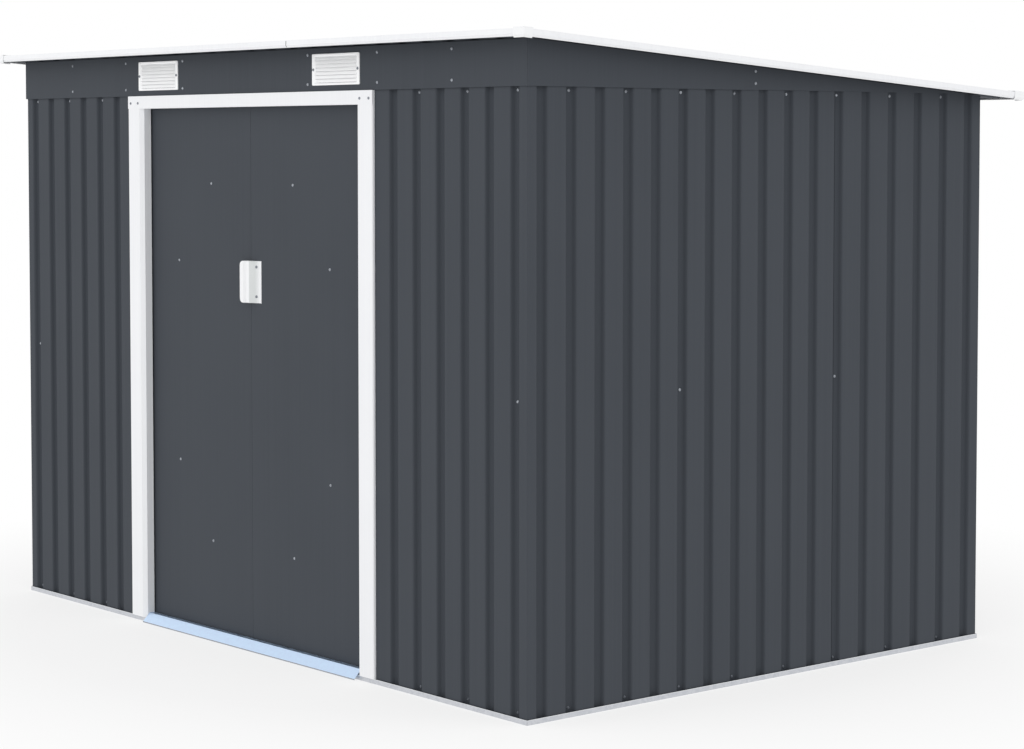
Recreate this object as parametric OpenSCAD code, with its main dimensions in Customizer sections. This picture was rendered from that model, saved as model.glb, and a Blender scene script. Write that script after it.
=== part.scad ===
// Lean-to garden shed of ribbed steel sheet with a pair of sliding doors.
// Millimetres, +Z up, front towards -Y, origin on the ground under the middle of the roof.

/* [Walls] */
// Width across the outer faces of the side walls
wall_w = 2640; // [2500:10:2900]
// Depth across the outer faces of the front and back walls
wall_d = 1836; // [1700:2:2000]
// Height from the ground to the fascia above the wall sheets
wall_h = 1692; // [1600:2:1800]
// Thickness of the wall, roof, door and trim sheet
sheet_t = 0.8; // [0.6:0.1:1]

/* [Wall grooves] */
// Width of a groove at the face of the sheet
groove_open = 38; // [34:1:42]
// Width of the flat floor of a groove
groove_floor = 21; // [17:1:24]
// Depth of a groove
groove_depth = 12; // [10:0.5:14]
// Radius of the soft folds along the grooves and the roof's ribs
fold_r = 7; // [4:0.5:8]
// Groove spacing on the side face of the front corner sheets
side_front_pitch = 103; // [98:0.5:108]
// Groove spacing on the middle sheets of the side walls
side_middle_pitch = 105; // [100:0.5:110]
// Inside radius of the folded corner of a corner sheet
corner_r = 3; // [2:0.5:6]

/* [Fascia] */
// Height of the fascia at the front wall
fascia_h = 126; // [116:1:140]
// Distance that the fascia and gables stand proud of the walls
fascia_proud = 3; // [2:0.5:5]
// Width of the folded top flange of the fascia
fascia_flange = 20; // [14:1:26]
// Distance from the front wall to the joint in each gable
gable_joint = 854; // [700:1:1000]

/* [Roof] */
// Fall of the roof from front to back, in degrees
roof_fall = 4; // [3.5:0.1:4.5]
// Overhang of the roof at the front
front_overhang = 70; // [60:1:90]
// Overhang of the roof at each side
side_overhang = 68; // [60:1:90]
// Overhang of the roof at the back
rear_overhang = 121; // [110:1:140]
// Height of the ribs of the roof sheets
roof_rib_h = 14; // [10:0.5:16]
// Depth of each roof beam
purlin_h = 26; // [20:1:30]
// Width of each roof beam
purlin_w = 40; // [30:1:50]

/* [Roof trim] */
// Height of the edge trim
trim_h = 21; // [19:0.5:26]
// Width of the top flange of the edge trim
trim_flange = 22; // [16:1:28]
// Height of the sloping drip strip along the bottom of the edge trim
drip_h = 7; // [5:0.5:10]
// Distance that the drip strip slopes back under the trim
drip_in = 4; // [2:0.5:6]
// Distance from the middle of the front to the joint in its trim
trim_joint = 320; // [200:5:500]
// Length of the long arm of a corner cap
cap_long = 44; // [36:1:50]
// Length of the short arm of a corner cap
cap_short = 32; // [28:1:36]
// Wall thickness of a corner cap
cap_wall = 2; // [1.5:0.1:3]
// Distance that a corner cap reaches above and below the trim
cap_lap = 3.5; // [2.5:0.1:5]

/* [Rails] */
// Height of the outer lip of the base rails
rail_lip = 14; // [10:1:18]
// Height of the inner leg of the base rails
rail_leg = 45; // [38:1:56]
// Thickness of the base rails, top rails and middle rails
rail_t = 0.8; // [0.6:0.1:1.2]
// Gap between the outer lip of the base rails and the wall
rail_gap = 2.2; // [1.5:0.1:3]
// Height of the web of the angle rails inside the walls
angle_h = 36; // [28:1:44]
// Width of the flange of the angle rails inside the walls
angle_flange = 24; // [18:1:30]
// Height of the middle rails' screws above the ground
middle_z = 857; // [780:1:940]

/* [Door frame] */
// Clear width of the doorway between the jambs
opening_w = 1144; // [1100:2:1180]
// Width of the face of a jamb
jamb_face = 67.5; // [62:0.5:76]
// Width of the sloping inner edge of a jamb
jamb_slope_w = 14; // [10:1:18]
// Depth of the sloping inner edge of a jamb
jamb_slope_d = 10; // [7:0.5:14]
// Height of the face of the header
header_face = 40; // [34:1:46]
// Distance that the door frame stands proud of the wall
frame_proud = 8; // [6:0.5:10]
// Radius of the soft outer edge of a jamb
jamb_r = 5; // [3:0.5:5]
// Distance from the wall face back to the face of the doors
door_set = 32; // [30:0.5:36]
// Gap between the door frame and the face of the doors
door_gap = 5.5; // [5:0.5:6]

/* [Door sill] */
// Height of the flat top of the sill
sill_h = 28.5; // [26:0.5:34]
// Distance from the wall face to the front edge of the sill's ramp
sill_out = 17; // [14:1:22]
// Height of the upright lip along the front edge of the ramp
sill_lip = 3; // [2:0.5:4]
// Distance that the top of the ramp is set back from the wall face
sill_back = 8; // [6:0.5:9]
// Depth of the flat top behind the ramp
sill_flat = 17.5; // [10:0.5:18]

/* [Doors] */
// Thickness of a door leaf
leaf_t = 22; // [18:1:26]
// Distance that each closed door leaf would reach behind its jamb with the seam in the middle
leaf_lap = 43; // [38:1:60]
// Gap between the two closed door leaves
leaf_seam = 5; // [5:0.5:8]
// Distance that the seam between the doors lies to the left of the middle of the doorway
seam_shift = 12; // [0:1:16]
// Height of the bottom edge of the door leaves above the ground
leaf_bottom = 15; // [10:1:24]
// Distance that the door leaves reach up behind the header
leaf_over = 8; // [4:1:9]
// Width of the folded return round the back of a door leaf
leaf_return = 18; // [12:1:26]
// Distance from the seam to the middle of the inner stiffener
stiffener_in = 219; // [190:1:240]
// Distance from the seam to the middle of the outer stiffener
stiffener_out = 405; // [380:1:440]
// Width of a stiffener
stiffener_w = 30; // [24:1:40]
// Depth of a stiffener
stiffener_d = 12; // [8:0.5:15]

/* [Door track] */
// Distance from the header's lower edge up to the door track
track_rise = 20; // [19:1:24]
// Height of the web of the door track
track_h = 32; // [28:1:40]
// Width of the channel of the door track
track_w = 30; // [28:0.5:32]
// Height of the lip that the doors hang on
track_lip = 10; // [8:0.5:14]
// Length of a door hanger
hanger_l = 60; // [40:1:80]
// Thickness of the plastic of a door hanger
hanger_t = 4.4; // [3.5:0.1:5]
// Running gap between a door hanger and the lip
hanger_gap = 0.3; // [0.2:0.1:0.5]

/* [Handle] */
// Height of the middle of the handle above the ground
handle_z = 1121; // [1000:1:1200]
// Height of the handle
handle_h = 128; // [110:1:150]
// Width of the handle's plate on the right door
handle_plate = 50; // [44:1:56]
// Thickness of the handle's plate
plate_t = 6.5; // [6:0.5:8]
// Distance from the seam to the near side of the handle's grip, over the left door
grip_near = 10; // [7:1:12]
// Distance from the seam to the far side of the handle's grip
grip_far = 34; // [28:1:40]
// Distance that the handle's grip stands proud of the doors
grip_proud = 22; // [19:1:26]
// Thickness of the walls of the handle's grip
grip_t = 3; // [2:0.5:4]
// Corner radius of the handle's grip
grip_r = 15; // [10:1:18]

/* [Vents] */
// Width of a vent
vent_w = 230; // [200:2:250]
// Height of a vent
vent_h = 91; // [80:1:100]
// Distance from the middle of the front to the middle of each vent
vent_x = 476; // [420:1:520]
// Width of the rim at each end of the louvres
vent_rim = 15; // [11:0.5:18]
// Width of the rim above and below the louvres
vent_edge = 6; // [5:0.5:8]
// Distance that a vent stands proud of the fascia
vent_proud = 3; // [2:0.5:5]
// Depth of the vent behind its rim
vent_depth = 12; // [9:0.5:16]
// Thickness of a louvre
louvre_t = 1.6; // [1:0.1:2]
// Distance of the louvres' outer edges behind the face of the rim
louvre_set = 1; // [0.5:0.1:2]

/* [Hidden] */
// Number of grooves across the back wall, and the spacing that gives
back_groove_count = 25;
rib_pitch = wall_w / back_groove_count;
// Grooves of a front corner sheet, middle sheet and rear corner sheet on the side face
side_front_groove_count = 6;
side_middle_groove_count = 6;
side_rear_groove_count = 5;
// Sheets across the back wall and across the roof, and the grooves and ribs of each
back_sheet_count = 3;
back_sheet_groove_count = (back_groove_count - 1) / back_sheet_count;
roof_sheet_count = 5;
roof_sheet_rib_count = back_groove_count / roof_sheet_count;
// Louvres of a vent
louvre_count = 7;
// Flats that make up each soft fold of a sheet
fold_flat_count = 5;
// Resting gap between pieces that seat on each other without a shared flat face
seat_gap = 0.3;
// Gap that shows as the joint line between two lengths of plate
joint_line = 0.8;
// Distance that the edge of a lapped sheet stops short of the next fold
lap_back = 2;
// Distance that the two lengths of a gable lap
gable_lap = 20;
// Distance that the wall sheets reach up behind the fascia
wall_lap = 8;
// Overrun of cuts past the solids that they cut
over = 5;
// Share of a leaf's width from each end to the middle of a hanger
hanger_share = 0.16;
// Tilt of the louvres and width of a louvre as a share of their spacing
louvre_tilt = 70;
louvre_share = 1.2;

// Colours
paint = [0.294, 0.306, 0.333];
white = [0.94, 0.94, 0.95];
zinc = [0.72, 0.74, 0.77];
black = [0.12, 0.12, 0.13];

// Depth of the back of the grooves, where the rails lie against the lapped sheets
rail_face = groove_depth + 2 * sheet_t;
// Outer face of the fascia and gables
plate_face = fascia_proud + sheet_t;
// Levels of the underside of the roof, given in roof coordinates: along, and square to, the slope
front_h = wall_h + fascia_h;
roof_front = -front_overhang / cos(roof_fall);
roof_back = (wall_d + rear_overhang) / cos(roof_fall);
roof_half = wall_w / 2 + side_overhang;
trim_top = roof_rib_h + 2 * sheet_t + seat_gap + sheet_t;
trim_bottom = trim_top - trim_h;
cap_top = trim_top + cap_lap;
cap_bottom = trim_bottom - cap_lap;
cap_out = cap_wall + seat_gap;
// Planes of the front and back walls, with the roof's plan centred on the origin
front_y = -((roof_front + roof_back) * cos(roof_fall) + (cap_top + cap_bottom) * sin(roof_fall)) / 2;
back_y = front_y + wall_d;
side_x = wall_w / 2;
// Height of the roof's underside at a place between front and back
function roof_z(y) = front_h - (y - front_y) * tan(roof_fall);
wall_top = wall_h + wall_lap;
rail_top = min(wall_h, roof_z(back_y)) - wall_lap / 2;

// Door frame and doors
opening_x = opening_w / 2;
jamb_edge = opening_x + jamb_slope_w;
frame_x = jamb_edge + jamb_face;
reveal_y = front_y + door_set - door_gap;
header_top = wall_h - seat_gap;
header_bottom = header_top - header_face;
leaf_y = front_y + door_set;
leaf_top = header_bottom + leaf_over;
leaf_x0 = leaf_seam / 2;
leaf_x1 = opening_x + leaf_lap;
leaf_w = leaf_x1 - leaf_x0;
track_y = front_y + rail_face;
track_bottom = header_bottom + track_rise;
// Grooves of the front sheets that fit between the door frame and the corner
front_groove_count = floor((side_x - frame_x - groove_open / 2) / rib_pitch + 0.5);
front_sheet_end = jamb_edge + lap_back;

// Folded sheet: the outline of a strip of thickness t on the left of a path of points
function unit(v) = v / norm(v);
function left(d) = [-d[1], d[0]];
function way(p, i) = unit(p[min(i, len(p) - 2) + 1] - p[min(i, len(p) - 2)]);
function mitre(p, i, t) =
    let (a = left(way(p, max(i - 1, 0))), b = left(way(p, i))) p[i] + t * (a + b) / (1 + a * b);
function folded(p, t) = concat(p, [for (i = [len(p) - 1:-1:0]) mitre(p, i, t)]);

// Places on a wall face: s along it from its start o in direction d, w to the left of it
function at(o, d, s, w) = o + d * s + left(d) * w;
// A soft fold at s, w: an arc that turns the sheet between two angles to the wall face
function fold_reach(turn) = fold_r * tan(abs(turn) / 2);
function fold(o, d, s, w, from, to) = let (r = sign(to - from) * fold_r, reach = fold_reach(to - from))
    [for (k = [0:fold_flat_count]) let (a = from + (to - from) * k / fold_flat_count)
        at(o, d, s - reach * cos(from) + r * (sin(a) - sin(from)),
            w - reach * sin(from) + r * (cos(from) - cos(a)))];
// Slope of the sides of a groove of depth w, and half the flat that a lapped sheet covers in it
function slope(w) = atan2(w, (groove_open - groove_floor) / 2);
function lap_half(w) = groove_floor / 2 - fold_reach(slope(w)) - lap_back;
// The two halves of a groove, and the whole groove, centred on c
function groove_in(o, d, c, w) = concat(
    fold(o, d, c - groove_open / 2, 0, 0, slope(w)), fold(o, d, c - groove_floor / 2, w, slope(w), 0));
function groove_out(o, d, c, w) = concat(
    fold(o, d, c + groove_floor / 2, w, 0, -slope(w)), fold(o, d, c + groove_open / 2, 0, -slope(w), 0));
function groove(o, d, c, w) = concat(groove_in(o, d, c, w), groove_out(o, d, c, w));
// The half grooves that end and start a lapped sheet
function lap_end(o, d, c, w) = concat(groove_in(o, d, c, w), [at(o, d, c + lap_half(w), w)]);
function lap_start(o, d, c, w) = concat([at(o, d, c - lap_half(w), w)], groove_out(o, d, c, w));
function grooves(o, d, centres, w) = [for (c = centres) each groove(o, d, c, w)];
// A folded corner at the end of a face: an arc from direction d to its left
function corner(o, d, s, r) = [
    for (a = [0:30:90]) at(o, d, s - r + r * sin(a), r - r * cos(a))];

// Directions and starts of the faces of the right-hand walls, anticlockwise in plan
east = [1, 0];
north = [0, 1];
west = [-1, 0];
front_o = [0, front_y];
side_o = [side_x, front_y];
back_o = [side_x, back_y];
// Laps on the side face, from the front corner, and the spacing left for the rear sheet
side_lap_1 = (side_front_groove_count - 0.5) * side_front_pitch;
side_lap_2 = side_lap_1 + side_middle_groove_count * side_middle_pitch;
side_rear_pitch = (wall_d - side_lap_2) / (side_rear_groove_count + 0.5);

// Lengths of section drawn in the plane across X or across Y
module along_x(length) rotate([90, 0, 90]) linear_extrude(length, center = true) children();
module along_y(y0, y1) translate([0, y1, 0]) rotate([90, 0, 0]) linear_extrude(y1 - y0) children();
module both_sides() { children(); mirror([1, 0, 0]) children(); }
module left_side() mirror([1, 0, 0]) children();

// Roof coordinates: origin on the front wall, Y down the slope, Z square to the sheets
module on_roof() translate([0, front_y, front_h]) rotate([-roof_fall, 0, 0]) children();
module roof_space() on_roof()
    translate([-wall_w, -wall_d, -seat_gap]) cube([2 * wall_w, 3 * wall_d, wall_h]);

// Beams under the roof sheets, a third of the way from the front and from the back
purlin_places = [for (i = [1:2]) i * wall_d / 3];
purlin_x = side_x + fascia_proud - sheet_t - 2 * seat_gap;
module purlin_spaces() on_roof() for (v = purlin_places)
    translate([-purlin_x, v - purlin_w / 2 - seat_gap, -purlin_h - 2 * seat_gap])
        cube([2 * purlin_x, purlin_w + 2 * seat_gap, wall_h]);

// Wall sheets: a folded path in plan, standing on the web of the base rails
module sheet(path, top) translate([0, 0, rail_t]) linear_extrude(top - rail_t)
    polygon(folded(path, sheet_t));
module under_roof() difference() { children(); roof_space(); purlin_spaces(); }

module front_panel() color(paint) sheet(concat(
    [at(front_o, east, front_sheet_end, sheet_t)],
    grooves(at(front_o, east, side_x, sheet_t), east,
        [for (k = [front_groove_count - 1:-1:1]) -(k + 0.5) * rib_pitch], groove_depth),
    lap_end(at(front_o, east, side_x, sheet_t), east, -rib_pitch / 2, groove_depth)), wall_top);

module front_corner_panel() color(paint) under_roof() sheet(concat(
    lap_start(front_o, east, side_x - rib_pitch / 2, groove_depth),
    corner(front_o, east, side_x, corner_r),
    grooves(side_o, north,
        [for (k = [0:side_front_groove_count - 2]) (k + 0.5) * side_front_pitch], groove_depth),
    lap_end(side_o, north, side_lap_1, groove_depth)), wall_top);

module side_panel() color(paint) under_roof() sheet(concat(
    lap_start(at(side_o, north, 0, sheet_t), north, side_lap_1, groove_depth),
    grooves(at(side_o, north, 0, sheet_t), north,
        [for (k = [1:side_middle_groove_count - 1]) side_lap_1 + k * side_middle_pitch], groove_depth),
    lap_end(at(side_o, north, 0, sheet_t), north, side_lap_2, groove_depth)), wall_top);

module rear_corner_panel() color(paint) under_roof() sheet(concat(
    lap_start(side_o, north, side_lap_2, groove_depth),
    grooves(side_o, north,
        [for (k = [1:side_rear_groove_count]) side_lap_2 + k * side_rear_pitch], groove_depth),
    corner(side_o, north, wall_d, corner_r),
    lap_end(back_o, west, rib_pitch / 2, groove_depth)), wall_top);

// Back sheets are numbered from the right-hand corner; every second one laps outside the others
module back_sheet(i) color(paint) under_roof()
    let (o = at(back_o, west, 0, i % 2 == 0 ? sheet_t : 0),
        start = (i * back_sheet_groove_count + 0.5) * rib_pitch)
    sheet(concat(
        lap_start(o, west, start, groove_depth),
        grooves(o, west, [for (k = [1:back_sheet_groove_count - 1]) start + k * rib_pitch], groove_depth),
        lap_end(o, west, start + back_sheet_groove_count * rib_pitch, groove_depth)), wall_top);

module front_panel_right() front_panel();
module front_panel_left() left_side() front_panel();
module front_corner_panel_right() front_corner_panel();
module front_corner_panel_left() left_side() front_corner_panel();
module side_panel_right() side_panel();
module side_panel_left() left_side() side_panel();
module rear_corner_panel_right() rear_corner_panel();
module rear_corner_panel_left() left_side() rear_corner_panel();
module back_panel_right() back_sheet(0);
module back_panel_middle() back_sheet(1);
module back_panel_left() back_sheet(2);

// Base rails: a channel with a low outer lip and a tall inner leg, mitred at the corners
rail_out = rail_gap + rail_t;
rail_in = rail_face + rail_t;
rail_section = folded([[-rail_out, rail_lip], [-rail_out, 0], [rail_in, 0], [rail_in, rail_leg]], rail_t);
module base_rail(length) along_x(length) polygon(rail_section);
// Plan of a mitred length: a triangle on the outer edge of the rail, clear of its neighbours
module rail_plan(length) linear_extrude(rail_leg + over)
    polygon([[-length / 2 + seat_gap, -rail_out], [length / 2 - seat_gap, -rail_out],
        [0, length / 2 - rail_out - seat_gap]]);
module mitred_rail(length) intersection() {
    base_rail(length);
    translate([0, 0, -over / 2]) rail_plan(length);
}
rail_w = wall_w + 2 * rail_out;
rail_d = wall_d + 2 * rail_out;
// The front rail's inner leg is cut down across the doorway
module base_rail_front() color(zinc) difference() {
    translate([0, front_y, 0]) mitred_rail(rail_w);
    translate([-front_sheet_end, front_y + rail_face - over, rail_lip])
        cube([2 * front_sheet_end, over + rail_t + over, rail_leg]);
}
module base_rail_back() color(zinc) translate([0, back_y, 0]) rotate([0, 0, 180]) mitred_rail(rail_w);
module base_rail_right() color(zinc)
    translate([side_x, (front_y + back_y) / 2, 0]) rotate([0, 0, 90]) mitred_rail(rail_d);
module base_rail_left() color(zinc) left_side() base_rail_right();

// Angle rails inside the side and back walls, screwed through the floors of the grooves
angle_section = folded([[rail_face, angle_h], [rail_face, 0], [rail_face + angle_flange, 0]], rail_t);
angle_in = rail_face + angle_flange;
module angle_rails(z) {
    both_sides() translate([side_x, (front_y + back_y) / 2, z]) rotate([0, 0, 90])
        along_x(wall_d - 2 * angle_in - 2 * lap_back) polygon(angle_section);
    translate([0, back_y, z]) rotate([0, 0, 180])
        along_x(wall_w - 2 * angle_in - 2 * lap_back) polygon(angle_section);
}
module top_rails() color(zinc) angle_rails(rail_top - angle_h);
module middle_rails() color(zinc) angle_rails(middle_z - angle_h / 2);

// Fascia: a flat plate over the front sheets, with a lip below and a flange under the roof, both
// notched at the ends for the gables
fascia_top = roof_z(front_y - plate_face + fascia_flange) - seat_gap;
vent_z = (wall_h + fascia_top) / 2;
module vent_windows(grow) for (side = [-1, 1])
    translate([side * vent_x - vent_w / 2 + vent_rim - grow, front_y - plate_face - over,
        vent_z - vent_h / 2 + vent_edge - grow])
        cube([vent_w - 2 * vent_rim + 2 * grow, 2 * over, vent_h - 2 * vent_edge + 2 * grow]);
module front_fascia() color(paint) difference() {
    along_x(wall_w + 2 * plate_face) polygon(folded([
        [front_y, wall_h], [front_y - plate_face, wall_h],
        [front_y - plate_face, fascia_top], [front_y - plate_face + fascia_flange, fascia_top]], -sheet_t));
    vent_windows(seat_gap);
    both_sides() translate([side_x - seat_gap, front_y - fascia_proud, wall_h - over])
        cube([plate_face + over, fascia_flange + over, fascia_h + 2 * over]);
}
// Rail behind the top of the fascia, ending above the frames of the vents
fascia_rail_top = fascia_top - sheet_t;
fascia_rail_bottom = max(fascia_rail_top - angle_h, vent_z + vent_h / 2 - vent_edge + lap_back);
module fascia_rail() color(zinc) along_x(wall_w - 2 * seat_gap) polygon(folded([
    [front_y - fascia_proud, fascia_rail_top], [front_y - fascia_proud, fascia_rail_bottom],
    [front_y - fascia_proud + angle_flange, fascia_rail_bottom]], rail_t));

// Gables: plates in two lengths under the sloping roof, the rear one lapped inside the front one
gable_in = sheet_t + seat_gap;
module gable_length(y0, y1, inset) along_y(y0, y1) polygon(folded([
    [side_x, wall_h + inset], [side_x + plate_face - inset, wall_h + inset],
    [side_x + plate_face - inset, front_h]], sheet_t));
module gable() color(paint) difference() {
    union() {
        gable_length(front_y - fascia_proud + seat_gap, front_y + gable_joint, 0);
        gable_length(front_y + gable_joint - gable_lap, back_y, gable_in);
    }
    roof_space();
}
module gable_right() gable();
module gable_left() left_side() gable();

// Vents: a rim on the fascia, a frame through it and steep louvres between
louvre_pitch = (vent_h - 2 * vent_edge) / louvre_count;
louvre_w = louvre_share * louvre_pitch;
louvre_y = louvre_set - vent_proud + louvre_w * cos(louvre_tilt) / 2 + louvre_t / 2;
module vent_block(inset, depth) translate([-vent_w / 2 + inset[0], 0, -vent_h / 2 + inset[1]])
    cube([vent_w - 2 * inset[0], depth, vent_h - 2 * inset[1]]);
vent_inset = [vent_rim, vent_edge];
module vent() color(white) translate([vent_x, front_y - plate_face, vent_z]) {
    difference() {
        union() {
            translate([0, -vent_proud, 0]) vent_block([0, 0], vent_proud);
            vent_block(vent_inset, vent_depth);
        }
        translate([0, -vent_proud - over, 0])
            vent_block(vent_inset + [louvre_t, louvre_t], vent_proud + vent_depth + 2 * over);
    }
    intersection() {
        for (k = [0:louvre_count - 1])
            translate([0, louvre_y, (k + 0.5 - louvre_count / 2) * louvre_pitch])
                along_x(vent_w - 2 * vent_rim - louvre_t) rotate(louvre_tilt)
                    square([louvre_w, louvre_t], center = true);
        translate([0, -vent_proud, 0]) vent_block(vent_inset, vent_proud + vent_depth);
    }
}
module vent_right() vent();
module vent_left() left_side() vent();

// Door frame: folded jambs on the base rail, under a folded header
module door_jamb() color(white) translate([0, 0, rail_lip]) linear_extrude(header_bottom - rail_lip)
    polygon(folded(concat([[frame_x, front_y + sheet_t]],
        [for (a = [0:15:90])
            [frame_x - jamb_r + jamb_r * cos(a), front_y - frame_proud + jamb_r - jamb_r * sin(a)]],
        [[jamb_edge, front_y - frame_proud], [opening_x, front_y - frame_proud + jamb_slope_d],
            [opening_x, reveal_y]]), -sheet_t));
module door_jamb_right() door_jamb();
module door_jamb_left() left_side() door_jamb();
// The header's lower flange is cut back behind the wall face to fit between the front sheets, and its ends
// are folded back to the wall over the jambs
module door_header() color(white) {
    difference() {
        along_x(2 * frame_x) polygon(folded([
            [front_y + sheet_t, header_top], [front_y - frame_proud, header_top],
            [front_y - frame_proud, header_bottom], [reveal_y, header_bottom]], sheet_t));
        both_sides() translate([opening_x + sheet_t, front_y, header_bottom - over])
            cube([jamb_slope_w + jamb_face, door_set, header_face - sheet_t]);
    }
    both_sides() translate([frame_x - sheet_t, front_y - frame_proud, header_bottom])
        cube([sheet_t, frame_proud + sheet_t, header_face]);
}
// Ramp and flat top over the base rail, on a front lip and a back leg, fitted tight between the jambs
sill_y = front_y + sill_back + sill_flat;
module door_sill() color(zinc) along_x(opening_w) polygon(folded([
    [front_y - sill_out, 0], [front_y - sill_out, sill_lip], [front_y + sill_back, sill_h],
    [sill_y, sill_h], [sill_y, 0]], -sheet_t));

// Door track: a channel behind the front sheets, with the lip that the doors hang on
track_back = track_y + track_w;
module door_track() color(zinc) along_x(wall_w - 2 * (rail_face + seat_gap)) polygon(folded([
    [track_y, track_bottom + track_h], [track_y, track_bottom],
    [track_back, track_bottom], [track_back, track_bottom + track_lip]], rail_t));

// Door leaves: trays of sheet with returns round the back
module leaf_panel() color(paint) difference() {
    translate([leaf_x0, leaf_y, leaf_bottom]) cube([leaf_w, leaf_t, leaf_top - leaf_bottom]);
    translate([leaf_x0 + sheet_t, leaf_y + sheet_t, leaf_bottom + sheet_t])
        cube([leaf_w - 2 * sheet_t, leaf_t - 2 * sheet_t, leaf_top - leaf_bottom - 2 * sheet_t]);
    translate([leaf_x0 + leaf_return, leaf_y + leaf_t / 2, leaf_bottom + leaf_return])
        cube([leaf_w - 2 * leaf_return, leaf_t, leaf_top - leaf_bottom - 2 * leaf_return]);
}
// Upright channels screwed to the back of a leaf's face
module leaf_stiffeners() color(zinc) for (x = [stiffener_in, stiffener_out])
    translate([x, leaf_y + sheet_t, leaf_bottom + sheet_t])
        linear_extrude(leaf_top - leaf_bottom - 2 * sheet_t) polygon(folded([
            [-stiffener_w / 2, stiffener_d], [-stiffener_w / 2, 0],
            [stiffener_w / 2, 0], [stiffener_w / 2, stiffener_d]], sheet_t));
// Hooks on the top edge of a leaf that hang over the track's lip
hook_bottom = track_bottom + track_lip + hanger_gap;
hook_back = track_back + hanger_gap + hanger_t;
hook_front = track_y + track_w / 2 - hanger_t;
hook_tip = hook_bottom - track_lip / 2;
hanger_places = [leaf_x0 + hanger_share * leaf_w, leaf_x1 - hanger_share * leaf_w];
module leaf_hangers() color(black) for (x = hanger_places)
    translate([x, 0, 0]) along_x(hanger_l) polygon([
        [leaf_y + sheet_t, leaf_top], [hook_back, leaf_top],
        [hook_back, hook_bottom + hanger_t], [hook_front, hook_bottom + hanger_t],
        [hook_front, hook_tip], [hook_front + 2 * hanger_t, hook_tip],
        [hook_front + 2 * hanger_t, hook_bottom], [track_back + hanger_gap, hook_bottom],
        [track_back + hanger_gap, leaf_top + hanger_t], [leaf_y + sheet_t, leaf_top + hanger_t]]);
module at_seam() translate([-seam_shift, 0, 0]) children();
module right_door_panel() at_seam() leaf_panel();
module left_door_panel() at_seam() left_side() leaf_panel();
module right_door_stiffeners() at_seam() leaf_stiffeners();
module left_door_stiffeners() at_seam() left_side() leaf_stiffeners();
module right_door_hangers() at_seam() leaf_hangers();
module left_door_hangers() at_seam() left_side() leaf_hangers();

// Handle: a moulded pull with a plate on the right door and a grip that reaches past the seam
module round_plate(x0, x1, z0, z1, r) union() {
    translate([x0 + r, z0]) square([x1 - x0 - r, z1 - z0]);
    translate([x0, z0 + r]) square([x1 - x0, z1 - z0 - 2 * r]);
    for (z = [z0 + r, z1 - r]) translate([x0 + r, z]) circle(r, $fn = 48);
}
handle_x1 = leaf_x0 + handle_plate;
// The part of the plate over the left door stands off it by the same gap as the seam
module door_handle() color(white) at_seam() intersection() {
    translate([0, 0, handle_z - handle_h / 2]) linear_extrude(handle_h) polygon([
        [leaf_x0, leaf_y], [handle_x1, leaf_y], [handle_x1, leaf_y - plate_t],
        [-grip_near, leaf_y - plate_t], [-grip_near, leaf_y - grip_proud],
        [-grip_far, leaf_y - grip_proud], [-grip_far, leaf_y - grip_proud + grip_t],
        [-grip_near - grip_t, leaf_y - grip_proud + grip_t], [-grip_near - grip_t, leaf_y - leaf_seam],
        [leaf_x0, leaf_y - leaf_seam]]);
    along_y(leaf_y - grip_proud - over, leaf_y + over)
        round_plate(-grip_far, handle_x1, handle_z - handle_h / 2, handle_z + handle_h / 2, grip_r);
}

// Roof sheets: ribs run down the slope; every second sheet laps over its neighbours
roof_inset = drip_in + seat_gap;
roof_edge = roof_half - roof_inset;
function rib_x(i) = (i - back_groove_count / 2) * rib_pitch;
module roof_sheet(i) color(paint) on_roof()
    let (o = [0, i % 2 == 0 ? 0 : sheet_t], first = i * roof_sheet_rib_count,
        last = first + roof_sheet_rib_count)
    along_y(roof_front + roof_inset, roof_back - roof_inset) polygon(folded(concat(
        i == 0 ? concat([o - [roof_edge, 0]], groove(o, east, rib_x(0), roof_rib_h))
            : lap_start(o, east, rib_x(first), roof_rib_h),
        grooves(o, east, [for (k = [first + 1:last - 1]) rib_x(k)], roof_rib_h),
        i == roof_sheet_count - 1 ? concat(groove(o, east, rib_x(last), roof_rib_h), [o + [roof_edge, 0]])
            : lap_end(o, east, rib_x(last), roof_rib_h)), sheet_t));
module roof_sheet_1() roof_sheet(0);
module roof_sheet_2() roof_sheet(1);
module roof_sheet_3() roof_sheet(2);
module roof_sheet_4() roof_sheet(3);
module roof_sheet_5() roof_sheet(4);
// Beams across the shed under the roof sheets, from gable to gable
module roof_purlins() color(zinc) on_roof() for (v = purlin_places)
    along_x(2 * purlin_x) polygon(folded([
        [v + purlin_w / 2, -seat_gap - purlin_h], [v + purlin_w / 2, -seat_gap],
        [v - purlin_w / 2, -seat_gap], [v - purlin_w / 2, -seat_gap - purlin_h]], rail_t));

// Edge trim: a folded angle with a drip strip round the roof, and moulded caps on the corners
function edge_path(flange, top, bottom) = [
    [flange, top], [0, top], [0, bottom + drip_h], [drip_in, bottom]];
trim_edge = edge_path(trim_flange, trim_top, trim_bottom);
// A length of trim that covers the front edge between two places across the roof
module front_trim(x0, x1) translate([(x0 + x1) / 2, roof_front, 0]) along_x(x1 - x0)
    polygon(folded(trim_edge, sheet_t));
module roof_trim_front() color(white) on_roof() {
    front_trim(-roof_half, trim_joint - joint_line / 2);
    front_trim(trim_joint + joint_line / 2, roof_half);
}
module roof_trim_back() color(white) on_roof() translate([0, roof_back, 0]) rotate([0, 0, 180])
    along_x(2 * roof_half) polygon(folded(trim_edge, sheet_t));
module roof_trim_right() color(white) on_roof() translate([roof_half, 0, 0])
    along_y(roof_front + trim_flange + seat_gap, roof_back - trim_flange - seat_gap) mirror([1, 0])
        polygon(folded(trim_edge, sheet_t));
module roof_trim_left() left_side() roof_trim_right();
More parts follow.
